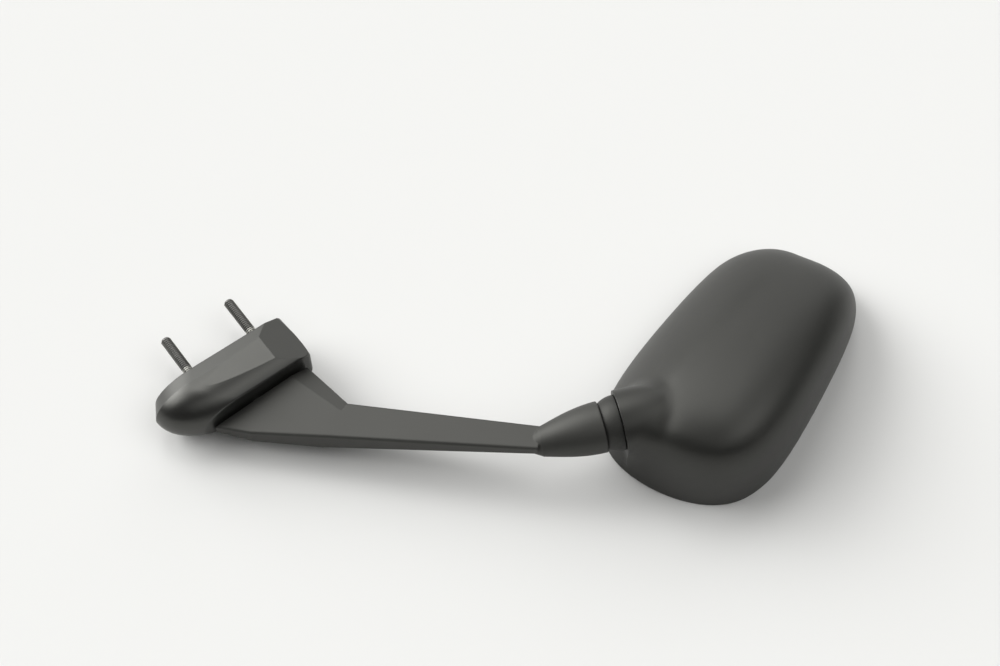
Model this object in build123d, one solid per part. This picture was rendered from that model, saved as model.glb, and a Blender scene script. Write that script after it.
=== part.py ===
from build123d import *
import os
from math import atan2, cos, hypot, radians, sin, sqrt

# Fairing mirror of a motorcycle, lying glass down. Millimetres.
# The origin is the middle of the mounting face, between the two studs. +X runs along
# the row of studs, +Y is the way the studs point and +Z is up. "Depth" is the distance
# from the mounting face into the base, towards -Y.

# Clearances
FIT = 0.3
RUNNING_FIT = 0.05
PRESS_FIT = 0.02

# Mounting studs
STUD_SPACING = 42.0
STUD_RADIUS = 3.0
STUD_REACH = 33.0
STUD_TIP_CHAMFER = 0.8
STUD_SHOULDER_RADIUS = 3.4
STUD_SHOULDER_REACH = 6.0
STUD_HOLE_MARGIN = 1.4
STUD_ROOT_RADIUS = 3.0
STUD_ROOT_LENGTH = 9.0

# Base pod: its outlines at four depths, and its wall
POD_DEPTH = 30.5
POD_HALF_HEIGHT = 18.0
POD_MOUNT_HALF_HEIGHT = 14.8
POD_WAIST_TOP = 18.0
POD_WAIST_BOTTOM = 14.0
POD_FRONT_TOP = 13.0
POD_FRONT_BOTTOM = 10.5
POD_CREST_DEPTH = 9.0
POD_WAIST_DEPTH = 21.0
POD_MOUNT_TIP = 47.0
POD_CREST_TIP = 52.0
POD_WAIST_TIP = 47.0
POD_FRONT_TIP = 34.0
POD_MOUNT_END = 37.0
POD_FRONT_END = 37.5
POD_TIP_ROUND = 25.0
POD_CORNER_SHARE = 0.55
POD_FRONT_ROUND = 2.0
POD_FACET_X = 19.0
POD_FACET_TOP = 17.2
POD_FACET_LEAN = 2.0
POD_END_LEAN = 17.0
COVER_WALL = 2.6

# Base casting and its fixings
GASKET_THICK = 2.0
CASTING_FRONT = 14.0
COVER_SCREW_X = 29.0
COVER_SCREW_Z = 7.0
COVER_SCREW_RADIUS = 1.9
COVER_SCREW_LENGTH = 20.0
SCREW_HEAD_RADIUS = 3.3
SCREW_HEAD_HEIGHT = 2.2
PILLAR_WALL = 2.1
RIB_THICK = 3.0
RIB_REACH = 7.0

# Folding pivot, along the studs' direction
PIVOT_Z = -5.5
PIVOT_RADIUS = 3.0
TOWER_RADIUS = 6.0
TOWER_STAND = 0.5
BUSH_WALL = 1.5
FRICTION_WASHER_THICK = 1.0
POCKET_DEPTH = 13.0
DISC_RADIUS = 6.25
DISC_THICK = 0.9
DISC_RISE = 0.45
DISC_COUNT = 3
SPRING_WASHER_THICK = 1.5
NUT_FLATS = 10.0
NUT_HEIGHT = 5.0
PIVOT_BOLT_HOLD = 15.0

# Arm: foot, bar and conical cup, in plan from the pivot
FOOT_TIP_X = -28.0
FOOT_HEEL_X = 33.0
FOOT_BELLY = (-15.0, -48.0)
SHOULDER = (37.0, -67.0)
SHOULDER_TOP = 9.5
CREASE_AZIMUTH = 199.0
CREASE_LENGTH = 24.5
FOOT_HEEL_TOP = 6.0
BAR_WIDTH_NECK = 14.5
BAR_DEPTH_FOOT = 17.0
SIDE_AT_TIP = 6.0
SIDE_AT_CREASE = 13.5
SIDE_AT_NECK = 6.0
FOOT_BOTTOM = -14.5
BAR_DEPTH_NECK = 12.0
FACET_AT_GAP = 11.0
FACET_AT_SHOULDER = 6.0
FACET_DEEP = 3.0
ARM_EDGE_ROUND = 1.6

# Ball joint: the neck's direction, and distances along it from the ball's centre
BALL_X = 144.4
BALL_Y = -168.9
NECK_AZIMUTH = -23.4
NECK_RISE = 5.0
BALL_RADIUS = 8.0
SEAT_THICK = 1.9
SEAT_SPLIT = 1.4
SEAT_FRONT = 6.0
BALL_SHANK_RADIUS = 4.2
BALL_NECK_RADIUS = 3.6
BALL_SHANK_BACK = 38.0
COLLAR_RADIUS = 15.3
COLLAR_SKIRT = 2.0
COLLAR_LIP = 11.0
COLLAR_SOCKET_FACE = 7.6
COLLAR_BACK = 0.5
COLLAR_SPIGOT = 4.0
CUP_RIM = 8.8
CUP_RADIUS = 14.2
CUP_LENGTH = 34.4
CUP_START_RADIUS = 8.0
CUP_TAIL_RADIUS = 2.5
CUP_TAIL_LENGTH = 9.0
CUP_FLARE = 0.27
CUP_RIM_ROUND = 0.8
CUP_CLEARED = 20.2
SOCKET_BORE = 12.0
SOCKET_CUP_BACK = 13.0
SOCKET_SPRING_DEEP = 2.0
SOCKET_SPRING_THICK = 1.0
RING_THICK = 4.0
RING_HOLE = 7.0

# Mirror head: a domed shell over a rounded outline, measured from the outline's centre.
# Each side has a bearing from the head's long axis and a distance, SIDE_SHARPNESS says how
# square the corners are, and a side with a fullness below 1 stays wide up to the crown.
BALL_IN_HEAD = (-77.4, 36.4)
BALL_ABOVE_RIM = 37.0
HEAD_AZIMUTH = 25.1
OUTER_END = 85.8
UPPER_SIDE = 49.2
UPPER_SIDE_BEARING = 79.1
NECK_CORNER = 90.6
NECK_CORNER_BEARING = 125.5
INNER_END = 93.7
INNER_CORNER = 90.7
LOWER_SIDE = 52.2
SIDE_SHARPNESS = 4.5
CROWN_SHARPNESS = 2.8
UPPER_FULLNESS = 1.5
NECK_FULLNESS = 0.12
CORNER_FULLNESS = 0.5
CROWN_CLOSING = 7.0
DOME_HEIGHT = 52.6
DOME_FALL = 0.15
DOME_LEAN = -0.11
CROWN_SHIFT = (-3.6, -8.4)
DOME_SWELL = 2.42
DOME_SHOULDER = 2.86
DOME_LEVELS = 10
OUTLINE_POINTS = 28
HOUSING_WALL = 3.0
NECK_RADIUS = 17.6
NECK_GROOVE = 0.4
NECK_LENGTH = 46.0
NECK_STEPS = 3
NECK_BLEND = 20.0
RIM_ROUND = 1.0
SOCKET_TUBE_WALL = 2.6
COLLAR_GAP = 0.7
HEAD_SWING = 15.0

# Glass and what holds it, measured up from the rim
GLASS_CURVE = 1400.0
GLASS_THICK = 2.0
GLASS_RECESS = 0.8
GLASS_INSET = 4.6
GASKET_LIP = 2.4
GASKET_DEPTH = 6.4
PLATE_BASE = 6.6
PLATE_THICK = 2.0
PLATE_MARGIN = 1.0
FOAM_MARGIN = 8.0
PLATE_SCREWS = ((-42.0, 22.0), (-42.0, -30.0), (40.0, 14.0), (40.0, -30.0))
PLATE_SCREW_RADIUS = 1.7
PLATE_SCREW_LENGTH = 12.0

# Places that follow from the sizes above
REST_Z = -POD_HALF_HEIGHT
FOOT_DEPTH = POD_DEPTH + TOWER_STAND + FRICTION_WASHER_THICK
PIVOT = (0.0, PIVOT_Z)
STUD_XS = (-STUD_SPACING / 2, STUD_SPACING / 2)
COVER_SCREWS = ((-COVER_SCREW_X, COVER_SCREW_Z), (COVER_SCREW_X, -COVER_SCREW_Z))
SEAT_BORE = BALL_RADIUS + FIT
SEAT_RADIUS = SEAT_BORE + SEAT_THICK
SOCKET_RADIUS = SEAT_RADIUS + FIT
NECK_AXIS = Vector(1, 0, 0).rotate(Axis.Y, -NECK_RISE).rotate(Axis.Z, NECK_AZIMUTH)
BALL_CENTRE = Vector(BALL_X, BALL_Y, REST_Z + BALL_ABOVE_RIM)
NECK = Plane(BALL_CENTRE, x_dir=Vector(0, 0, 1).cross(NECK_AXIS), z_dir=NECK_AXIS)
BAR_END = BALL_CENTRE - NECK_AXIS * (CUP_RIM + CUP_LENGTH)
HEAD_X = Vector(1, 0, 0).rotate(Axis.Z, HEAD_AZIMUTH)
HEAD_Y = Vector(0, 1, 0).rotate(Axis.Z, HEAD_AZIMUTH)
HEAD_CENTRE = BALL_CENTRE - HEAD_X * BALL_IN_HEAD[0] - HEAD_Y * BALL_IN_HEAD[1]
HEAD = Plane(HEAD_CENTRE - Vector(0, 0, BALL_ABOVE_RIM), x_dir=HEAD_X, z_dir=(0, 0, 1))


def rod(radius, start, end, place=(0.0, 0.0)):
    """A round bar along the depth direction, from one depth to another."""
    return extrude(Plane.XZ.offset(start) * Pos(*place) * Circle(radius), amount=end - start)


def tube(outer, inner, start, end, place=(0.0, 0.0)):
    """A round sleeve along the depth direction."""
    ring = Circle(outer) - Circle(inner)
    return extrude(Plane.XZ.offset(start) * Pos(*place) * ring, amount=end - start)


def turned(*profile):
    """A solid turned about local Z from (radius, height) corners."""
    return revolve(Plane.XZ * make_face(Polyline(*profile, close=True)), Axis.Z)


def disc(radius, low, high):
    """A round slab about local Z between two heights."""
    return Pos(0, 0, low) * Cylinder(radius, high - low, align=(Align.CENTER, Align.CENTER, Align.MIN))


def pod_outline(depth, tip, top, bottom, end):
    """The pod's outline at one depth: long round tip, straight sides, squared end."""
    middle = POD_TIP_ROUND - tip
    corner = POD_CORNER_SHARE * bottom
    inner = end - corner
    outline = [
        EllipticalCenterArc((middle, 0), POD_TIP_ROUND, top, start_angle=90, arc_size=90),
        EllipticalCenterArc((middle, 0), POD_TIP_ROUND, bottom, start_angle=180, arc_size=90),
        Line((middle, -bottom), (inner, -bottom)),
        CenterArc((inner, corner - bottom), corner, -90, 90),
        Line((end, corner - bottom), (end, top - corner)),
        CenterArc((inner, top - corner), corner, 0, 90),
        Line((inner, top), (middle, top)),
    ]
    return Plane.XZ.offset(depth) * make_face(outline)


def pod_body(inset=0.0):
    """The pod's form: a drafted band, then a crowned body with a flat facet and a sloped end."""
    end_draft = (POD_FRONT_END - POD_MOUNT_END) / POD_DEPTH
    front = POD_DEPTH - inset
    stations = [
        (0.0, POD_MOUNT_TIP, POD_MOUNT_HALF_HEIGHT, POD_MOUNT_HALF_HEIGHT),
        (POD_CREST_DEPTH, POD_CREST_TIP, POD_HALF_HEIGHT, POD_HALF_HEIGHT),
        (POD_WAIST_DEPTH, POD_WAIST_TIP, POD_WAIST_TOP, POD_WAIST_BOTTOM),
        (front, POD_FRONT_TIP, POD_FRONT_TOP, POD_FRONT_BOTTOM),
    ]
    outlines = []
    for depth, tip, top, bottom in stations:
        end = POD_MOUNT_END + end_draft * depth
        outlines.append(pod_outline(depth, tip - inset, top - inset, bottom - inset, end - inset))
    form = loft(outlines[:2], ruled=True) + loft(outlines[1:])
    for lean in (POD_FACET_LEAN, POD_END_LEAN):
        upward = Vector(0, 0, 1).rotate(Axis.Y, lean)
        form = split(form, Plane((POD_FACET_X, 0, POD_FACET_TOP - inset), z_dir=upward), Keep.BOTTOM)
    return form


def layer(start, end):
    """A block wider than the pod, between two depths."""
    wide = 4 * POD_CREST_TIP
    return Pos(0, -(start + end) / 2, 0) * Box(wide, end - start, wide)


def base_cover():
    """Moulded pod: open at the mount, with a hole for the tower and two screw pillars."""
    form = pod_body()
    front_edges = form.faces().sort_by(Axis.Y)[0].edges()
    shell = fillet(front_edges, POD_FRONT_ROUND) - pod_body(COVER_WALL)
    pillar_radius = COVER_SCREW_RADIUS + PILLAR_WALL
    for place in COVER_SCREWS:
        pillar = rod(pillar_radius, CASTING_FRONT, POD_DEPTH, place) & pod_body(COVER_WALL / 2)
        bore = rod(COVER_SCREW_RADIUS + PRESS_FIT, 0, POD_DEPTH - COVER_WALL, place)
        shell = shell + pillar - bore
    return shell - rod(TOWER_RADIUS + FIT, CASTING_FRONT, POD_DEPTH + 1, PIVOT)


def base_casting():
    """Die-cast core: a plate in the cover, the pivot tower and its four ribs."""
    core = pod_body(COVER_WALL + FIT) & layer(GASKET_THICK, CASTING_FRONT)
    core += rod(TOWER_RADIUS, GASKET_THICK, POD_DEPTH + TOWER_STAND, PIVOT)
    rib_root = TOWER_RADIUS - RIB_THICK / 2
    rib = make_face(Polyline(
        (rib_root, 0), (TOWER_RADIUS + RIB_REACH, 0),
        (TOWER_RADIUS, RIB_REACH), (rib_root, RIB_REACH), close=True))
    rib = extrude(Plane.XZ * rib, amount=RIB_THICK / 2, both=True)
    for turn in (0, 180):
        core += Plane.XZ.offset(CASTING_FRONT) * Pos(*PIVOT) * Rot(0, 0, turn) * rib
    core -= rod(DISC_RADIUS + FIT, 0, POCKET_DEPTH, PIVOT)
    core -= rod(PIVOT_RADIUS + RUNNING_FIT + BUSH_WALL + PRESS_FIT, 0, POD_DEPTH + 1, PIVOT)
    for x in STUD_XS:
        core -= rod(STUD_ROOT_RADIUS + PRESS_FIT, 0, GASKET_THICK + STUD_ROOT_LENGTH, (x, 0))
    for place in COVER_SCREWS:
        core -= rod(SCREW_HEAD_RADIUS + FIT, 0, GASKET_THICK + SCREW_HEAD_HEIGHT, place)
        core -= rod(COVER_SCREW_RADIUS + FIT, 0, CASTING_FRONT + 1, place)
    return core


def mounting_studs():
    """Two steel studs: knurled root in the casting, plain shoulder, threaded end."""
    tip = STUD_RADIUS - STUD_TIP_CHAMFER
    stud = turned(
        (0, -GASKET_THICK - STUD_ROOT_LENGTH), (STUD_ROOT_RADIUS, -GASKET_THICK - STUD_ROOT_LENGTH),
        (STUD_ROOT_RADIUS, -GASKET_THICK), (STUD_SHOULDER_RADIUS, -GASKET_THICK),
        (STUD_SHOULDER_RADIUS, STUD_SHOULDER_REACH), (STUD_RADIUS, STUD_SHOULDER_REACH),
        (STUD_RADIUS, STUD_REACH - STUD_TIP_CHAMFER), (tip, STUD_REACH), (0, STUD_REACH))
    stud = Rot(-90, 0, 0) * stud
    return Compound(children=[Pos(x, 0, 0) * stud for x in STUD_XS])


def base_gasket():
    """Rubber pad, flush with the cover's edge, with holes for the stud shoulders."""
    pad = pod_body(COVER_WALL + FIT) & layer(0, GASKET_THICK)
    for x in STUD_XS:
        pad -= rod(STUD_SHOULDER_RADIUS + STUD_HOLE_MARGIN, -1, GASKET_THICK + 1, (x, 0))
    return pad


def cover_screws():
    """Pan-head screws through the casting into the cover's pillars."""
    head_top = GASKET_THICK
    screws = []
    for place in COVER_SCREWS:
        head = rod(SCREW_HEAD_RADIUS, head_top, head_top + SCREW_HEAD_HEIGHT, place)
        screws.append(head + rod(COVER_SCREW_RADIUS, head_top, head_top + COVER_SCREW_LENGTH, place))
    return Compound(children=screws)


def pivot_bush():
    """Bearing sleeve in the tower."""
    bore = PIVOT_RADIUS + RUNNING_FIT
    return tube(bore + BUSH_WALL, bore, POCKET_DEPTH, POD_DEPTH + TOWER_STAND, PIVOT)


def friction_washer():
    """Washer between the tower and the foot of the arm."""
    start = POD_DEPTH + TOWER_STAND
    return tube(TOWER_RADIUS, PIVOT_RADIUS + FIT, start, start + FRICTION_WASHER_THICK, PIVOT)


def disc_springs():
    """Stack of conical spring washers, turned about in turn, on the pocket's floor."""
    bore = PIVOT_RADIUS + FIT
    step = DISC_RISE + DISC_THICK
    discs = []
    for number in range(DISC_COUNT):
        low, high = (0, DISC_RISE) if number % 2 else (DISC_RISE, 0)
        shape = turned(
            (bore, low), (DISC_RADIUS, high), (DISC_RADIUS, high + DISC_THICK), (bore, low + DISC_THICK))
        base = number * step - POCKET_DEPTH
        discs.append(Pos(0, base, PIVOT_Z) * Rot(-90, 0, 0) * shape)
    return Compound(children=discs)


STACK_TOP = POCKET_DEPTH - DISC_COUNT * (DISC_RISE + DISC_THICK)
NUT_BASE = STACK_TOP - SPRING_WASHER_THICK


def spring_washer():
    """Flat washer that spreads the nut's load over the springs."""
    return tube(DISC_RADIUS, PIVOT_RADIUS + PRESS_FIT, NUT_BASE, STACK_TOP, PIVOT)


def pivot_nut():
    """Hexagon nut on the end of the pivot bolt."""
    flat = RegularPolygon(NUT_FLATS / 2, 6, major_radius=False) - Circle(PIVOT_RADIUS + PRESS_FIT)
    return extrude(Plane.XZ.offset(NUT_BASE - NUT_HEIGHT) * Pos(*PIVOT) * flat, amount=NUT_HEIGHT)


def pivot_bolt():
    """Stud bolt screwed into the foot, running through the bush, springs and nut."""
    start = NUT_BASE - NUT_HEIGHT
    bolt = rod(PIVOT_RADIUS, start, FOOT_DEPTH + PIVOT_BOLT_HOLD, PIVOT)
    return chamfer(bolt.edges().filter_by(GeomType.CIRCLE), STUD_TIP_CHAMFER)


def prism(*corners):
    """A tall upright block over a plan outline."""
    tall = 4 * POD_HALF_HEIGHT
    return extrude(Plane.XY.offset(-tall) * make_face(Polyline(*corners, close=True)), amount=2 * tall)


def through(first, second, third):
    """The plane through three points, facing up."""
    normal = (second - first).cross(third - first)
    return Plane(first, z_dir=normal if normal.Z > 0 else -normal)


def height_on(plane, x, y):
    """The point of a sloping plane above a place in plan."""
    normal = plane.z_dir
    rise = (normal.X * (plane.origin.X - x) + normal.Y * (plane.origin.Y - y)) / normal.Z
    return Vector(x, y, plane.origin.Z + rise)


def undercut(block, start, end, inside):
    """Bevel a block's underside inwards at 45 degrees below the line from start to end."""
    inward = Vector(0, 0, 1).cross(end - start).normalized()
    if inward.dot(inside - start) < 0:
        inward = -inward
    return split(block, through(start, end, start + inward - Vector(0, 0, 1)), Keep.TOP)


def edges_near(block, *points):
    """The edges of a block that lie nearest to these points."""
    return [block.edges().sort_by_distance(point)[0] for point in points]


def arm_stock():
    """Foot and bar: plan outlines cut by top and bottom planes, undercut along the low side."""
    lift = Vector(0, 0, 1)
    shoulder = Vector(*SHOULDER)
    shoulder_top = shoulder + lift * SHOULDER_TOP
    bar_end = Vector(BAR_END.X, BAR_END.Y)
    along = (bar_end - shoulder).normalized()
    across = Vector(-along.Y, along.X) * BAR_WIDTH_NECK / 2
    crease_low = shoulder + Vector(CREASE_LENGTH, 0).rotate(Axis.Z, CREASE_AZIMUTH)
    upper_end = bar_end + across
    lower_end = bar_end - across
    end_top = lift * (BAR_END.Z + BAR_DEPTH_NECK / 2)
    end_low = lift * (BAR_END.Z - BAR_DEPTH_NECK / 2)
    bar_top = through(shoulder_top, upper_end + end_top, lower_end + end_top)
    bar_low = through(shoulder_top - lift * BAR_DEPTH_FOOT, upper_end + end_low, lower_end + end_low)
    ridge = height_on(bar_top, crease_low.X, crease_low.Y)
    bar = prism(shoulder, upper_end, lower_end, crease_low)
    bar = split(split(bar, bar_top, Keep.BOTTOM), bar_low, Keep.TOP)
    crease_end = ridge - lift * SIDE_AT_CREASE
    bar = undercut(bar, crease_end, lower_end + end_top - lift * SIDE_AT_NECK, shoulder_top)
    bar = fillet(bar.edges().filter_by(lambda edge: edge.length > 2 * CREASE_LENGTH), ARM_EDGE_ROUND)

    tip = Vector(FOOT_TIP_X, -FOOT_DEPTH)
    heel = Vector(FOOT_HEEL_X, -FOOT_DEPTH)
    belly = Vector(*FOOT_BELLY)
    heel_top = heel + lift * FOOT_HEEL_TOP
    foot_top = through(shoulder_top, ridge, heel_top)
    facet_end = shoulder_top + (ridge - shoulder_top).normalized() * FACET_AT_SHOULDER
    facet_gap = height_on(foot_top, FOOT_HEEL_X - FACET_AT_GAP, -FOOT_DEPTH)
    facet = through(facet_gap, facet_end, heel_top - lift * FACET_DEEP)
    tip_low = height_on(foot_top, tip.X, tip.Y) - lift * SIDE_AT_TIP
    belly_low = height_on(foot_top, belly.X, belly.Y) - lift * (SIDE_AT_TIP + SIDE_AT_CREASE) / 2
    foot = prism(tip, heel, shoulder, crease_low, belly)
    foot = split(split(foot, foot_top, Keep.BOTTOM), facet, Keep.BOTTOM)
    foot = split(foot, Plane.XY.offset(FOOT_BOTTOM), Keep.TOP)
    foot = undercut(foot, tip_low, belly_low, shoulder_top)
    foot = undercut(foot, belly_low, crease_end, shoulder_top)
    tip_top = height_on(foot_top, tip.X, tip.Y)
    belly_top = height_on(foot_top, belly.X, belly.Y)
    low_edges = edges_near(foot, (tip_top + belly_top) / 2, (belly_top + ridge) / 2)
    return fillet(low_edges, ARM_EDGE_ROUND) + bar


def arm_cup():
    """The swelling cup that ends the arm, turned about the neck's axis."""
    start = -CUP_RIM - CUP_LENGTH
    tail = (CUP_TAIL_RADIUS, start - CUP_TAIL_LENGTH)
    swell = Spline((CUP_START_RADIUS, start), (CUP_RADIUS, -CUP_RIM), tangents=((CUP_FLARE, 1), (0, 1)))
    outline = [
        Line((0, tail[1]), tail), Line(tail, (CUP_START_RADIUS, start)), swell,
        Line((CUP_RADIUS, -CUP_RIM), (0, -CUP_RIM)), Line((0, -CUP_RIM), (0, tail[1]))]
    cup = revolve(Plane.XZ * make_face(outline), Axis.Z)
    rim = cup.edges().sort_by(Axis.Z)[-1]
    cup = fillet(rim, CUP_RIM_ROUND)
    return NECK * (cup - Sphere(COLLAR_RADIUS + FIT))


def arm():
    """One casting: wedge-shaped foot on the pivot, tapered bar, and the ball joint's cup."""
    casting = arm_stock() + arm_cup()
    casting -= NECK * disc(BALL_SHANK_RADIUS + PRESS_FIT, -BALL_SHANK_BACK, 0)
    return casting - rod(PIVOT_RADIUS + PRESS_FIT, 0, FOOT_DEPTH + PIVOT_BOLT_HOLD, PIVOT)


def ball_stud():
    """Steel ball on a waisted shank, pressed into the arm's cup."""
    shank = turned(
        (0, -BALL_SHANK_BACK), (BALL_SHANK_RADIUS, -BALL_SHANK_BACK),
        (BALL_SHANK_RADIUS, -COLLAR_RADIUS - FIT), (BALL_NECK_RADIUS, -COLLAR_LIP),
        (BALL_NECK_RADIUS, 0), (0, 0))
    return NECK * (shank + Sphere(BALL_RADIUS))


def seat_zone(low, high):
    """A zone of the thin nylon sphere around the ball."""
    return NECK * ((Sphere(SEAT_RADIUS) - Sphere(SEAT_BORE)) & disc(2 * SEAT_RADIUS, low, high))


def neck_collar():
    """Ball-shaped ring that closes the neck: socket inside, thin skirt under the cup."""
    collar = Sphere(COLLAR_RADIUS) & disc(2 * COLLAR_RADIUS, -COLLAR_LIP, COLLAR_BACK)
    collar += disc(SOCKET_BORE - FIT, 0, COLLAR_BACK + COLLAR_SPIGOT)
    collar -= Sphere(SOCKET_RADIUS)
    hollow = Sphere(COLLAR_RADIUS - COLLAR_SKIRT)
    return NECK * (collar - (hollow & disc(COLLAR_RADIUS, -COLLAR_RADIUS, -COLLAR_SOCKET_FACE)))


def socket_cup():
    """Rear half of the socket, sliding in the neck's bore."""
    start = COLLAR_BACK + COLLAR_SPIGOT + FIT
    return NECK * (disc(SOCKET_BORE - FIT, start, SOCKET_CUP_BACK) - Sphere(SOCKET_RADIUS))


def socket_spring():
    """Conical spring washer behind the socket's cup."""
    rise = SOCKET_SPRING_DEEP - SOCKET_SPRING_THICK
    outer = SOCKET_BORE - 2 * FIT
    spring = turned(
        (RING_HOLE, rise), (outer, 0), (outer, SOCKET_SPRING_THICK), (RING_HOLE, SOCKET_SPRING_DEEP))
    return NECK * Pos(0, 0, SOCKET_CUP_BACK) * spring


def retaining_ring():
    """Threaded ring that holds the socket together."""
    base = SOCKET_CUP_BACK + SOCKET_SPRING_DEEP
    top = base + RING_THICK
    ring = disc(SOCKET_BORE - RUNNING_FIT, base, top) - disc(RING_HOLE, 0, top + 1)
    slot = Pos(0, 0, top) * Box(3 * SOCKET_BORE, RING_THICK / 2, RING_THICK / 2)
    return NECK * (ring - slot)


def head_outline(inset=0.0, level=0.0, scale=1.0):
    """The head's rounded outline at one level of the dome, as a closed curve."""
    sides = (
        (0.0, OUTER_END, 1.0), (UPPER_SIDE_BEARING, UPPER_SIDE, UPPER_FULLNESS),
        (NECK_CORNER_BEARING, NECK_CORNER, NECK_FULLNESS), (180.0, INNER_END, NECK_FULLNESS),
        (225.0, INNER_CORNER, CORNER_FULLNESS), (270.0, LOWER_SIDE, 1.0))
    sharpness = SIDE_SHARPNESS + (CROWN_SHARPNESS - SIDE_SHARPNESS) * level
    points = []
    for number in range(OUTLINE_POINTS):
        bearing = 360 * number / OUTLINE_POINTS
        total = 0.0
        for side, distance, fullness in sides:
            facing = max(0.0, cos(radians(bearing - side)))
            shrink = scale ** (fullness + (1 - fullness) * level ** CROWN_CLOSING)
            total += (facing / (distance - inset) / shrink) ** sharpness
        reach = total ** (-1 / sharpness)
        x = CROWN_SHIFT[0] * level + reach * cos(radians(bearing))
        y = CROWN_SHIFT[1] * level + reach * sin(radians(bearing))
        z = level * (DOME_HEIGHT - inset - DOME_FALL * x + DOME_LEAN * y)
        points.append((x, y, z))
    return make_face(Spline(*points, periodic=True))


def head_dome(inset=0.0):
    """The dome, lofted from the rim's outline up to the crown."""
    levels = []
    for number in range(DOME_LEVELS):
        angle = radians(90 * number / DOME_LEVELS)
        level = sin(angle) ** (2 / DOME_SWELL)
        levels.append(head_outline(inset, level, cos(angle) ** (2 / DOME_SHOULDER)))
    x, y = CROWN_SHIFT
    crown = Vertex(x, y, DOME_HEIGHT - inset - DOME_FALL * x + DOME_LEAN * y)
    return HEAD * loft([*levels, crown])


def neck_form():
    """The neck's outside, half an egg that fades into the dome as a low ridge."""
    start = COLLAR_BACK + NECK_GROOVE
    points = []
    for number in range(NECK_STEPS + 1):
        turn = radians(90 * number / NECK_STEPS)
        points.append((NECK_RADIUS * cos(turn), start + (NECK_LENGTH - start) * sin(turn)))
    ridge = Spline(*points, tangents=((0, 1), (-1, 0)))
    outline = [Line((0, start), (NECK_RADIUS, start)), ridge, Line((0, NECK_LENGTH), (0, start))]
    return NECK * revolve(Plane.XZ * make_face(outline), Axis.Z)


def neck_room(wall=0.0):
    """Room in the head for the collar and for the arm's cup at full swing, grown by a wall."""
    inner = COLLAR_RADIUS + COLLAR_GAP + wall
    outer = hypot(CUP_RADIUS, CUP_CLEARED) + COLLAR_GAP + wall
    top = COLLAR_BACK + wall
    swing = atan2(CUP_RADIUS, CUP_RIM) + radians(HEAD_SWING)
    outward = Vector(sin(swing), -cos(swing))
    start = Vector(cos(swing), sin(swing)) * wall
    near = start + outward * sqrt(inner ** 2 - wall ** 2)
    far = start + outward * sqrt(outer ** 2 - wall ** 2)
    rim = Vector(sqrt(inner ** 2 - top ** 2), top)
    outline = [
        Line((0, top), rim), RadiusArc(rim, near, inner), Line(near, far),
        RadiusArc(far, (0, -outer), outer), Line((0, -outer), (0, top))]
    return NECK * revolve(Plane.XZ * make_face(outline), Axis.Z)


def plate_screw_places(radius, low, high):
    """A round bar at each screw of the backing plate."""
    return [HEAD * Pos(*place) * disc(radius, low, high) for place in PLATE_SCREWS]


def head_outside():
    """The head's outer form: dome and neck with a blend between them and a rounded rim."""
    form = head_dome() + neck_form()
    near_neck = form.edges().filter_by(lambda edge: (edge.center() - BALL_CENTRE).length < NECK_LENGTH)
    form = fillet(near_neck.sort_by(Axis(BALL_CENTRE, NECK_AXIS))[-1], NECK_BLEND)
    rim = form.edges().filter_by(lambda edge: edge.bounding_box().max.Z < REST_Z + FIT)
    return fillet(rim, RIM_ROUND)


def mirror_housing():
    """Moulded head: thin domed shell, the neck with its socket tube, and screw pillars."""
    tube_end = SOCKET_CUP_BACK + SOCKET_SPRING_DEEP + RING_THICK
    cavity = head_dome(HOUSING_WALL) - neck_room(HOUSING_WALL)
    cavity -= NECK * disc(SOCKET_BORE + SOCKET_TUBE_WALL, 0, tube_end)
    for pillar in plate_screw_places(PLATE_SCREW_RADIUS + PILLAR_WALL, PLATE_BASE + PLATE_THICK, DOME_HEIGHT):
        cavity -= pillar
    shell = head_outside() - cavity - neck_room() - NECK * disc(SOCKET_BORE, 0, tube_end)
    for hole in plate_screw_places(PLATE_SCREW_RADIUS + PRESS_FIT, 0, PLATE_BASE + PLATE_SCREW_LENGTH):
        shell -= hole
    return shell


def rim_slab(inset, low, high):
    """A flat slab with the rim's outline, drawn in by an inset, between two heights."""
    return HEAD * Pos(0, 0, low) * extrude(head_outline(inset), amount=high - low)


def glass_ball(lift):
    """The large ball whose surface is the glass's front or, lifted, its back."""
    return HEAD * Pos(0, 0, GLASS_RECESS + lift + GLASS_CURVE) * Sphere(GLASS_CURVE)


def mirror_glass():
    """Convex glass, a slice of a large ball cut to the rim's outline."""
    blank = rim_slab(HOUSING_WALL + GLASS_INSET, 0, PLATE_BASE)
    return (blank & glass_ball(0)) - glass_ball(GLASS_THICK)


def glass_gasket():
    """Rubber ring around the glass, with a groove for its edge."""
    ring = rim_slab(0, FIT, GASKET_DEPTH) & head_dome(HOUSING_WALL + FIT)
    ring -= rim_slab(HOUSING_WALL + GLASS_INSET + GASKET_LIP, 0, PLATE_BASE)
    groove = rim_slab(HOUSING_WALL + GLASS_INSET - FIT, 0, PLATE_BASE)
    return ring - ((groove & glass_ball(-FIT / 2)) - glass_ball(GLASS_THICK + FIT / 2))


def backing_plate():
    """Moulded plate behind the glass, screwed to the housing's pillars."""
    top = PLATE_BASE + PLATE_THICK
    plate = rim_slab(0, PLATE_BASE, top) & head_dome(HOUSING_WALL + PLATE_MARGIN)
    return plate - plate_screw_places(PLATE_SCREW_RADIUS + FIT, 0, 2 * top)


def backing_screws():
    """Pan-head screws of the backing plate."""
    low = PLATE_BASE - SCREW_HEAD_HEIGHT
    heads = plate_screw_places(SCREW_HEAD_RADIUS, low, PLATE_BASE)
    shanks = plate_screw_places(PLATE_SCREW_RADIUS, low, PLATE_BASE + PLATE_SCREW_LENGTH - FIT)
    return Compound(children=[head + shank for head, shank in zip(heads, shanks)])


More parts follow.
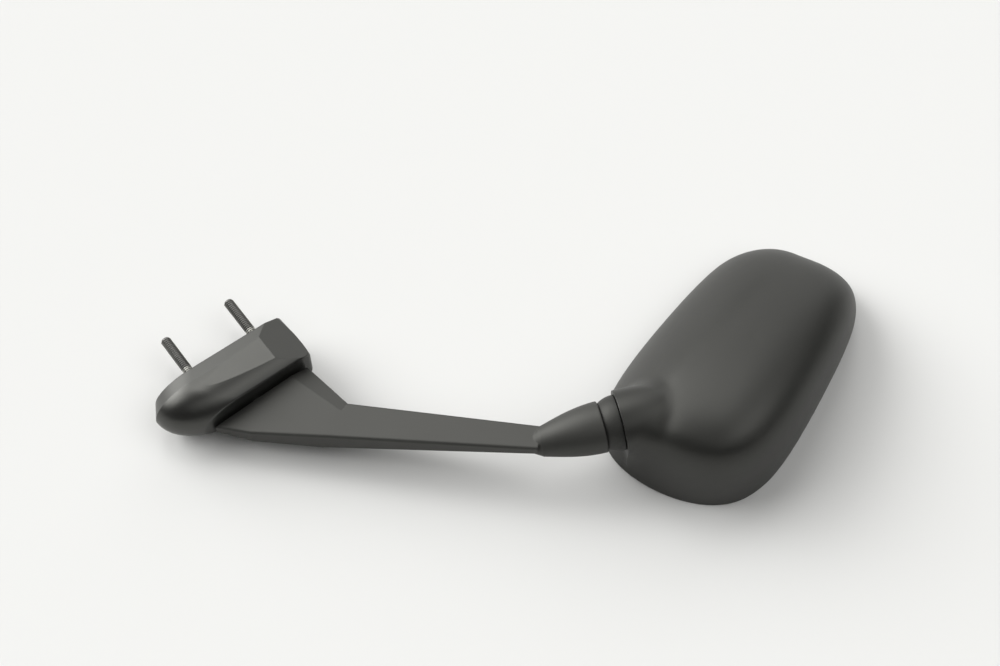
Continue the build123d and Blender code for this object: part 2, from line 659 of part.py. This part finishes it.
def foam_pad():
    """Adhesive foam that fills the space between the glass and its plate."""
    pad = rim_slab(HOUSING_WALL + FOAM_MARGIN, 0, PLATE_BASE) & glass_ball(GLASS_THICK)
    return pad - plate_screw_places(SCREW_HEAD_RADIUS + FIT, 0, PLATE_BASE)


def ball_seat_front():
    """Nylon seat between the ball and the collar, open for the ball's neck."""
    return seat_zone(-SEAT_FRONT, -SEAT_SPLIT)


def ball_seat_rear():
    """Nylon seat between the ball and the socket's cup."""
    return seat_zone(SEAT_SPLIT, SEAT_FRONT)


PARTS = (
    base_cover, base_casting, mounting_studs, base_gasket, cover_screws, pivot_bush, friction_washer,
    disc_springs, spring_washer, pivot_nut, pivot_bolt, arm, ball_stud, ball_seat_front, ball_seat_rear,
    neck_collar, socket_cup, socket_spring, retaining_ring, mirror_housing, backing_plate,
    backing_screws, foam_pad, mirror_glass, glass_gasket)

os.makedirs("parts", exist_ok=True)
for make in PARTS:
    export_step(make(), f"parts/{make.__name__}.step")
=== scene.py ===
import math
import bmesh
import bpy
import numpy
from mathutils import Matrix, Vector
from mathutils.bvhtree import BVHTree


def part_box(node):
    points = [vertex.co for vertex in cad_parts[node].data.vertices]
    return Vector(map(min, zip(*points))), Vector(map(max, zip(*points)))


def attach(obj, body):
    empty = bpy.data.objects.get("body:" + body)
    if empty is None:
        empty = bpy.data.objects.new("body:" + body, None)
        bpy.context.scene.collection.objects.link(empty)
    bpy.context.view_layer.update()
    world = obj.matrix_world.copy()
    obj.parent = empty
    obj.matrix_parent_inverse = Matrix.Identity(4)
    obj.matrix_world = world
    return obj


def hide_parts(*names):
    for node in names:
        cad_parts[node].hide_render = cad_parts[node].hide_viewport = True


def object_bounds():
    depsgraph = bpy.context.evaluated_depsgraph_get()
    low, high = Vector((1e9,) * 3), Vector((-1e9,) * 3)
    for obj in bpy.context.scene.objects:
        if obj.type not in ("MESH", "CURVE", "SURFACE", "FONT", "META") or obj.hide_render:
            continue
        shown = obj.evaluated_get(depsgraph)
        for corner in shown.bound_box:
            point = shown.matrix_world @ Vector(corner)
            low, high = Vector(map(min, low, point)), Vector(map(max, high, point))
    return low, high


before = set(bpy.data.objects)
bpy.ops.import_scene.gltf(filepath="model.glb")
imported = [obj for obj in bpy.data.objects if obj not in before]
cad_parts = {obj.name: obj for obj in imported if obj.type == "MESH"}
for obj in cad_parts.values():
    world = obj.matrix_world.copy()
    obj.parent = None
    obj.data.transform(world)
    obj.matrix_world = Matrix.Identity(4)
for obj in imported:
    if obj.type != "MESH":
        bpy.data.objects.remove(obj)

cad_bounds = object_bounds()


# Base cover: the satin black pod that sits against the motorcycle's fairing.
# Injection-moulded plastic, open at the mount, held from behind by two screws.
FINE_GRAIN = 2600.0
GRAIN_DEPTH = 0.00002
BLOTCH_SCALE = 35.0
STREAK_SCALE = 90.0
SCUFF_FROM, SCUFF_FULL = 0.56, 0.72
SCUFF_SHARE = 0.3
PIT_SHARE = 0.5
EDGE_SAMPLES = 6
SHINE_TINT = (1.0, 1.0, 0.95, 1)
# The mix node has one set of sockets for each kind of value: its two ends and its result.
MIX_SOCKETS = {"FLOAT": (2, 3, 0), "RGBA": (6, 7, 2)}


def node_of(tree, kind, **values):
    """Add a shader node and set plain values on its input sockets."""
    made = tree.nodes.new(kind)
    for key, value in values.items():
        made.inputs[key.replace("_", " ")].default_value = value
    return made


def math_of(tree, operation, *terms):
    """Add a math node whose terms are sockets to link or plain values; returns its result."""
    made = tree.nodes.new("ShaderNodeMath")
    made.operation = operation
    for socket, term in zip(made.inputs, terms):
        if isinstance(term, bpy.types.NodeSocket):
            tree.links.new(term, socket)
        else:
            socket.default_value = term
    return made.outputs[0]


def ramp_to(tree, source, low, high, target, kind="FLOAT"):
    """Carry a 0 to 1 factor to a socket as a blend between two values or colours."""
    first, second, result = MIX_SOCKETS[kind]
    mix = tree.nodes.new("ShaderNodeMix")
    mix.data_type = kind
    mix.inputs[first].default_value = low
    mix.inputs[second].default_value = high
    tree.links.new(source, mix.inputs[0])
    tree.links.new(mix.outputs[result], target)


def grain_group():
    """Mould grain: fine pitting, slow blotches and handling marks, as factors and a height."""
    group = bpy.data.node_groups.new("mould_grain", "ShaderNodeTree")
    group.interface.new_socket("Fine Scale", in_out="INPUT", socket_type="NodeSocketFloat")
    for name in ("Shade", "Dull", "Height"):
        group.interface.new_socket(name, in_out="OUTPUT", socket_type="NodeSocketFloat")
    enter = group.nodes.new("NodeGroupInput")
    leave = group.nodes.new("NodeGroupOutput")
    place = group.nodes.new("ShaderNodeTexCoord")
    fine = node_of(group, "ShaderNodeTexNoise", Detail=4.0, Roughness=0.6)
    blotch = node_of(group, "ShaderNodeTexNoise", Scale=BLOTCH_SCALE, Detail=3.0, Roughness=0.55)
    streak = node_of(group, "ShaderNodeTexNoise", Scale=STREAK_SCALE, Detail=6.0, Roughness=0.7,
                     Distortion=1.5)
    for texture in (fine, blotch, streak):
        group.links.new(place.outputs["Object"], texture.inputs["Vector"])
    group.links.new(enter.outputs["Fine Scale"], fine.inputs["Scale"])
    marks = node_of(group, "ShaderNodeMapRange", From_Min=SCUFF_FROM, From_Max=SCUFF_FULL)
    group.links.new(streak.outputs["Fac"], marks.inputs["Value"])
    scuff = math_of(group, "MULTIPLY", marks.outputs["Result"], SCUFF_SHARE)
    shade = math_of(group, "ADD", blotch.outputs["Fac"], scuff)
    dull = math_of(group, "MULTIPLY_ADD", fine.outputs["Fac"], PIT_SHARE, shade)
    group.links.new(shade, leave.inputs["Shade"])
    group.links.new(dull, leave.inputs["Dull"])
    group.links.new(fine.outputs["Fac"], leave.inputs["Height"])
    return group


GRAIN = grain_group()


def moulded(name, dark, light, smooth, rough, edge, fine=FINE_GRAIN, depth=GRAIN_DEPTH, shine=0.8):
    """Moulded plastic, rubber or foam with its own grain, shine and softened edges."""
    material = bpy.data.materials.new(name)
    material.use_nodes = True
    tree = material.node_tree
    surface = tree.nodes["Principled BSDF"]
    surface.inputs["Specular IOR Level"].default_value = shine
    surface.inputs["Specular Tint"].default_value = SHINE_TINT
    grain = tree.nodes.new("ShaderNodeGroup")
    grain.node_tree = GRAIN
    grain.inputs["Fine Scale"].default_value = fine
    ramp_to(tree, grain.outputs["Shade"], (*dark, 1), (*light, 1), surface.inputs["Base Color"], "RGBA")
    ramp_to(tree, grain.outputs["Dull"], smooth, rough, surface.inputs["Roughness"])
    rounding = node_of(tree, "ShaderNodeBevel", Radius=edge)
    rounding.samples = EDGE_SAMPLES
    bump = node_of(tree, "ShaderNodeBump", Strength=1.0, Distance=depth)
    tree.links.new(grain.outputs["Height"], bump.inputs["Height"])
    tree.links.new(rounding.outputs["Normal"], bump.inputs["Normal"])
    tree.links.new(bump.outputs["Normal"], surface.inputs["Normal"])
    return material


def dress(material, *nodes):
    """Give CAD nodes a material."""
    for name in nodes:
        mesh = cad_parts[name].data
        mesh.materials.clear()
        mesh.materials.append(material)


dress(moulded("pod_black", (0.011, 0.011, 0.0105), (0.019, 0.019, 0.018),
              smooth=0.27, rough=0.37, edge=0.0008), "base_cover")


# Base casting, gasket and cover screws: the hidden core of the pod.
# An aluminium casting behind a rubber pad, with zinc-plated pan-head screws.
MARK_STRENGTH = 0.6
MARK_DEPTH = 0.00003
TURNED = (1, 0.1, 1)


def metal(name, dark, light, smooth, rough, scale, stretch=(1, 1, 1)):
    """Bare or plated metal with working marks, which a stretch draws out in one direction."""
    material = bpy.data.materials.new(name)
    material.use_nodes = True
    tree = material.node_tree
    surface = tree.nodes["Principled BSDF"]
    surface.inputs["Metallic"].default_value = 1.0
    place = tree.nodes.new("ShaderNodeTexCoord")
    spread = node_of(tree, "ShaderNodeMapping", Scale=stretch)
    marks = node_of(tree, "ShaderNodeTexNoise", Scale=scale, Detail=5.0, Roughness=0.65)
    tree.links.new(place.outputs["Object"], spread.inputs["Vector"])
    tree.links.new(spread.outputs["Vector"], marks.inputs["Vector"])
    ramp_to(tree, marks.outputs["Fac"], (*dark, 1), (*light, 1), surface.inputs["Base Color"], "RGBA")
    ramp_to(tree, marks.outputs["Fac"], smooth, rough, surface.inputs["Roughness"])
    bump = node_of(tree, "ShaderNodeBump", Strength=MARK_STRENGTH, Distance=MARK_DEPTH)
    tree.links.new(marks.outputs["Fac"], bump.inputs["Height"])
    tree.links.new(bump.outputs["Normal"], surface.inputs["Normal"])
    return material


ZINC = metal("zinc_plate", (0.42, 0.42, 0.40), (0.62, 0.61, 0.57),
             smooth=0.22, rough=0.42, scale=900.0, stretch=TURNED)
RUBBER = moulded("seal_rubber", (0.016, 0.016, 0.016), (0.028, 0.028, 0.027),
                 smooth=0.62, rough=0.85, edge=0.0003, fine=1800.0)
CAST_ALLOY = metal("cast_alloy", (0.40, 0.40, 0.40), (0.56, 0.56, 0.55),
                   smooth=0.45, rough=0.7, scale=1500.0)
dress(CAST_ALLOY, "base_casting")
dress(RUBBER, "base_gasket")
dress(ZINC, "cover_screws")


# Mounting studs: the pair of steel studs that pass through the fairing.
# Zinc-plated, with a plain shoulder and a rolled thread that is bright at first and dark further out.
# They are pressed into the casting.
STUD_X = 0.021
STUD_RADIUS = 0.003
ROOT_RADIUS = 0.003
ROOT_START = -0.011
GASKET_BACK = -0.002
SHOULDER_RADIUS = 0.0034
SHOULDER_BEVEL_DEPTH = 0.0003
SHOULDER_BEVEL_LENGTH = 0.0004
THREAD_START = 0.006
THREAD_END = 0.033
THREAD_PITCH = 0.00125
THREAD_DEPTH = 0.0006
THREAD_RUN_IN = 0.0004
THREAD_RUN_OUT = 0.0001
GROOVE_HALF = 0.42
TIP_BEVEL = 0.0009
DARK_FROM = 0.0095
ROWS_PER_TURN = 10
TURN_STEPS = 40
SEAM_MERGE = 0.000001


def threaded_stud(bm, x):
    """Spin one stud's profile, then press the helix into its thread."""
    rows = int((THREAD_END - THREAD_START) / THREAD_PITCH * ROWS_PER_TURN)
    profile = [
        (0, ROOT_START),
        (ROOT_RADIUS, ROOT_START),
        (ROOT_RADIUS, GASKET_BACK),
        (SHOULDER_RADIUS, GASKET_BACK),
        (SHOULDER_RADIUS, THREAD_START - SHOULDER_BEVEL_LENGTH),
        (SHOULDER_RADIUS - SHOULDER_BEVEL_DEPTH, THREAD_START),
    ]
    for row in range(rows + 1):
        y = THREAD_START + (THREAD_END - THREAD_START) * row / rows
        taper = max(0.0, y - THREAD_END + TIP_BEVEL)
        profile.append((STUD_RADIUS - taper, y))
    profile.append((0, THREAD_END))
    verts = [bm.verts.new((x + r, y, 0)) for r, y in profile]
    edges = [bm.edges.new(pair) for pair in zip(verts, verts[1:])]
    before = set(bm.verts) - set(verts)
    bmesh.ops.spin(bm, geom=verts + edges, cent=(x, 0, 0), axis=(0, 1, 0), angle=math.tau,
                   steps=TURN_STEPS, use_merge=True)
    bmesh.ops.remove_doubles(bm, verts=[v for v in bm.verts if v not in before], dist=SEAM_MERGE)
    for v in bm.verts:
        if v in before or not THREAD_START + THREAD_RUN_IN < v.co.y < THREAD_END - THREAD_RUN_OUT:
            continue
        dx, dz = v.co.x - x, v.co.z
        radius = math.hypot(dx, dz)
        if radius < STUD_RADIUS / 2:
            continue
        phase = (v.co.y / THREAD_PITCH - math.atan2(dz, dx) / math.tau) % 1.0
        groove = max(0.0, 1 - abs(phase - 0.5) / GROOVE_HALF) * THREAD_DEPTH
        v.co.x = x + dx * (radius - groove) / radius
        v.co.z = dz * (radius - groove) / radius


def placed(bm, name):
    """Turn a finished mesh into an object of the scene."""
    mesh = bpy.data.meshes.new(name)
    bm.to_mesh(mesh)
    bm.free()
    made = bpy.data.objects.new(name, mesh)
    bpy.context.scene.collection.objects.link(made)
    return made


bm = bmesh.new()
for x in (-STUD_X, STUD_X):
    threaded_stud(bm, x)
bmesh.ops.recalc_face_normals(bm, faces=bm.faces)
studs = placed(bm, "threaded_studs")
studs.data.materials.append(ZINC)
studs.data.materials.append(metal("dark_thread", (0.10, 0.10, 0.095), (0.26, 0.255, 0.245),
                                  smooth=0.32, rough=0.55, scale=1200.0))
for face in studs.data.polygons:
    face.use_smooth = True
    face.material_index = 1 if face.center.y > DARK_FROM else 0
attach(studs, "base")
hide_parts("mounting_studs")


# Folding pivot: bush, friction washer, disc springs, washer, nut and bolt.
# Turned and stamped metal with a nylon friction washer, clamped by the nut inside the casting.
BRONZE = metal("bearing_bronze", (0.42, 0.27, 0.10), (0.58, 0.40, 0.17),
               smooth=0.25, rough=0.45, scale=900.0, stretch=TURNED)
DARK_NYLON = moulded("dark_nylon", (0.02, 0.02, 0.02), (0.035, 0.035, 0.034),
                     smooth=0.45, rough=0.6, edge=0.0003)
SPRING = metal("oiled_spring_steel", (0.16, 0.16, 0.17), (0.3, 0.3, 0.31),
               smooth=0.25, rough=0.45, scale=800.0)
dress(BRONZE, "pivot_bush")
dress(DARK_NYLON, "friction_washer")
dress(SPRING, "disc_springs")
dress(ZINC, "spring_washer", "pivot_nut", "pivot_bolt")


# Arm: one moulding of glass-filled nylon, from the foot at the pivot to the cup of the ball joint.
# Its flat faces are matte with a fine mould grain; the pivot bolt is fixed in the foot.
dress(moulded("arm_black", (0.014, 0.014, 0.013), (0.023, 0.023, 0.0215),
              smooth=0.48, rough=0.60, edge=0.0009, fine=2200.0, depth=0.00003, shine=0.7), "arm")


# Ball joint: nylon seats and cup around the steel ball, closed by a spring and a cast ring.
# The collar is the smooth black ring seen between the arm's cup and the head's neck.
NYLON = moulded("natural_nylon", (0.60, 0.58, 0.53), (0.74, 0.72, 0.66),
                smooth=0.4, rough=0.6, edge=0.0003, fine=1500.0)
dress(ZINC, "ball_stud")
dress(NYLON, "ball_seat_front", "ball_seat_rear", "socket_cup")
dress(SPRING, "socket_spring")
dress(CAST_ALLOY, "retaining_ring")
dress(moulded("collar_black", (0.010, 0.010, 0.0095), (0.017, 0.017, 0.016),
              smooth=0.48, rough=0.60, edge=0.0004, shine=0.5), "neck_collar")


# Housing: the domed shell of the head with the neck moulded in one piece, in satin black plastic.
# Screw pillars inside carry the glass's backing plate.
# The visible skin is a smoothly shaded copy of the CAD shell, raised beside the neck by under 0.2 mm.
EASE_REACH = 0.009
EASE_CELL = 0.0015
EASE_SPREADS = 3
BALL_CENTRE = Vector((0.1444, -0.1689))
NECK_KEPT = (0.022, 0.040)
NECK_REACH = (0.070, 0.105)
FLANK_KEPT = (0.25, 0.65)
SHARP_ANGLE = 0.6
RAY_START = 1.0
DOWN = (0, 0, -1)
SKIN_TOLERANCE = 0.00005


def rise(value, start, end):
    """Smooth step from 0 at start to 1 at end."""
    share = min(1.0, max(0.0, (value - start) / (end - start)))
    return share * share * (3 - 2 * share)


def eased_heights(tree, low, high):
    """How far each cell of a plan grid lies below the average of its surroundings, or 0."""
    columns = int((high[0] - low[0]) / EASE_CELL) + 2
    rows = int((high[1] - low[1]) / EASE_CELL) + 2
    top = numpy.full((columns, rows), low[2])
    for i in range(columns):
        for j in range(rows):
            start = (low[0] + i * EASE_CELL, low[1] + j * EASE_CELL, RAY_START)
            place = tree.ray_cast(start, DOWN)[0]
            if place:
                top[i, j] = place.z
    span = int(EASE_SPREADS * EASE_REACH / EASE_CELL)
    bell = numpy.exp(-0.5 * (numpy.arange(-span, span + 1) * EASE_CELL / EASE_REACH) ** 2)
    bell /= bell.sum()
    mean = numpy.pad(top, span, constant_values=low[2])
    for axis in (0, 1):
        mean = numpy.apply_along_axis(numpy.convolve, axis, mean, bell, "same")
    return numpy.maximum(mean[span:-span, span:-span] - top, 0)


def sampled(grid, across, along):
    """Value between a grid's cells."""
    i, j = int(across), int(along)
    u, v = across - i, along - j
    near = grid[i, j] * (1 - v) + grid[i, j + 1] * v
    far = grid[i + 1, j] * (1 - v) + grid[i + 1, j + 1] * v
    return near * (1 - u) + far * u


bm = bmesh.new()
bm.from_mesh(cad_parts["mirror_housing"].data)
bmesh.ops.remove_doubles(bm, verts=bm.verts, dist=SEAM_MERGE)
bm.normal_update()
skin = BVHTree.FromBMesh(bm)
low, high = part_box("mirror_housing")
shift = eased_heights(skin, low, high)
for v in bm.verts:
    place = skin.ray_cast((v.co.x, v.co.y, RAY_START), DOWN)[0]
    if not place or abs(place.z - v.co.z) > SKIN_TOLERANCE:
        continue
    away = (v.co.xy - BALL_CENTRE).length
    share = rise(v.normal.z, *FLANK_KEPT) * rise(away, *NECK_KEPT) * (1 - rise(away, *NECK_REACH))
    across, along = (v.co.x - low[0]) / EASE_CELL, (v.co.y - low[1]) / EASE_CELL
    v.co.z += share * sampled(shift, across, along)
bm.normal_update()
for edge in bm.edges:
    edge.smooth = edge.calc_face_angle(0.0) < SHARP_ANGLE
for face in bm.faces:
    face.smooth = True
shell = placed(bm, "eased_housing")
if "custom_normal" in shell.data.attributes:
    shell.data.attributes.remove(shell.data.attributes["custom_normal"])
shell.data.materials.clear()
shell.data.materials.append(moulded("housing_black", (0.007, 0.007, 0.0065), (0.012, 0.012, 0.011),
                                    smooth=0.38, rough=0.49, edge=0.0008, fine=2400.0, shine=0.6))
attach(shell, "head")
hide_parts("mirror_housing")


# Glass set: backing plate, its screws, adhesive foam, and the silvered glass in a rubber ring.
# All of it is on the underside while the mirror lies glass down.
dress(DARK_NYLON, "backing_plate")
dress(ZINC, "backing_screws")
dress(moulded("grey_foam", (0.05, 0.05, 0.05), (0.12, 0.12, 0.12),
              smooth=0.85, rough=0.95, edge=0.0002, fine=900.0, depth=0.0003), "foam_pad")
dress(metal("silvering", (0.78, 0.80, 0.80), (0.84, 0.86, 0.86),
            smooth=0.01, rough=0.03, scale=60.0), "mirror_glass")
dress(RUBBER, "glass_gasket")


# Table, light and camera: a plain pale table under soft lights that are part of the sky.
# They are brightest at the left, the back left and overhead; strengths fitted to the photo, then tuned.
# None of these belongs to the mirror.
FLOOR_Z = cad_bounds[0][2]
FLOOR_SIZE = 6.0
FLOOR_ROUGHNESS = 0.9
FLOOR_SHINE = 0.1
# The table's colour as the camera sees it, and as it lights the mirror.
FLOOR_SEEN = (0.70, 0.70, 0.695, 1)
FLOOR_FELT = (0.68, 0.68, 0.67, 1)
SKY_TINT = (1.0, 1.0, 0.985, 1)
# Each softbox: where it shines from, the cosine at which its glow begins, and its strength.
WIDE, NARROW = 0.866, 0.95
SOFTBOXES = (
    ((-0.51, 0.61, 0.61), WIDE, 4.6),
    ((-0.25, 0.87, 0.43), WIDE, 4.8),
    ((0.40, 0.86, 0.33), WIDE, 0.5),
    ((0.79, 0.48, 0.38), WIDE, 1.3),
    ((0.16, 0.70, 0.69), WIDE, 1.0),
    ((0.34, -0.60, 0.72), WIDE, 1.3),
    ((0.45, -0.24, 0.86), WIDE, 1.4),
    ((-0.23, -0.55, 0.81), WIDE, 0.7),
    ((0.22, 0.46, 0.86), NARROW, 3.8),
)
CAMERA_PLACE = Vector((-0.1602, -0.4691, 0.848))
CAMERA_TARGET = Vector((0.1398, -0.0691, -0.018))
LENS_MM = 62.07
SENSOR_MM = 36.0
CLIP_START = 0.01

bm = bmesh.new()
bmesh.ops.create_grid(bm, x_segments=1, y_segments=1, size=FLOOR_SIZE / 2)
for v in bm.verts:
    v.co.z = FLOOR_Z
floor = placed(bm, "table")
paper = bpy.data.materials.new("pale_table")
paper.use_nodes = True
sheet = paper.node_tree
top = sheet.nodes["Principled BSDF"]
top.inputs["Roughness"].default_value = FLOOR_ROUGHNESS
top.inputs["Specular IOR Level"].default_value = FLOOR_SHINE
path = sheet.nodes.new("ShaderNodeLightPath")
ramp_to(sheet, path.outputs["Is Camera Ray"], FLOOR_FELT, FLOOR_SEEN, top.inputs["Base Color"], "RGBA")
floor.data.materials.append(paper)

world = bpy.data.worlds.new("studio")
world.use_nodes = True
sky = world.node_tree
facing = sky.nodes.new("ShaderNodeTexCoord")
total = 0.0
for direction, begins, strength in SOFTBOXES:
    toward = sky.nodes.new("ShaderNodeVectorMath")
    toward.operation = "DOT_PRODUCT"
    toward.inputs[1].default_value = Vector(direction).normalized()
    sky.links.new(facing.outputs["Generated"], toward.inputs[0])
    glow = node_of(sky, "ShaderNodeMapRange", From_Min=begins, To_Max=strength)
    glow.interpolation_type = "SMOOTHSTEP"
    sky.links.new(toward.outputs["Value"], glow.inputs["Value"])
    total = math_of(sky, "ADD", glow.outputs["Result"], total)
backdrop = sky.nodes["Background"]
backdrop.inputs["Color"].default_value = SKY_TINT
sky.links.new(total, backdrop.inputs["Strength"])
bpy.context.scene.world = world

lens = bpy.data.cameras.new("camera")
lens.lens = LENS_MM
lens.sensor_width = SENSOR_MM
lens.clip_start = CLIP_START
camera = bpy.data.objects.new("camera", lens)
camera.location = CAMERA_PLACE
camera.rotation_euler = (CAMERA_TARGET - CAMERA_PLACE).to_track_quat("-Z", "Y").to_euler()
bpy.context.scene.collection.objects.link(camera)
bpy.context.scene.camera = camera
bpy.context.scene.view_settings.view_transform = "Standard"
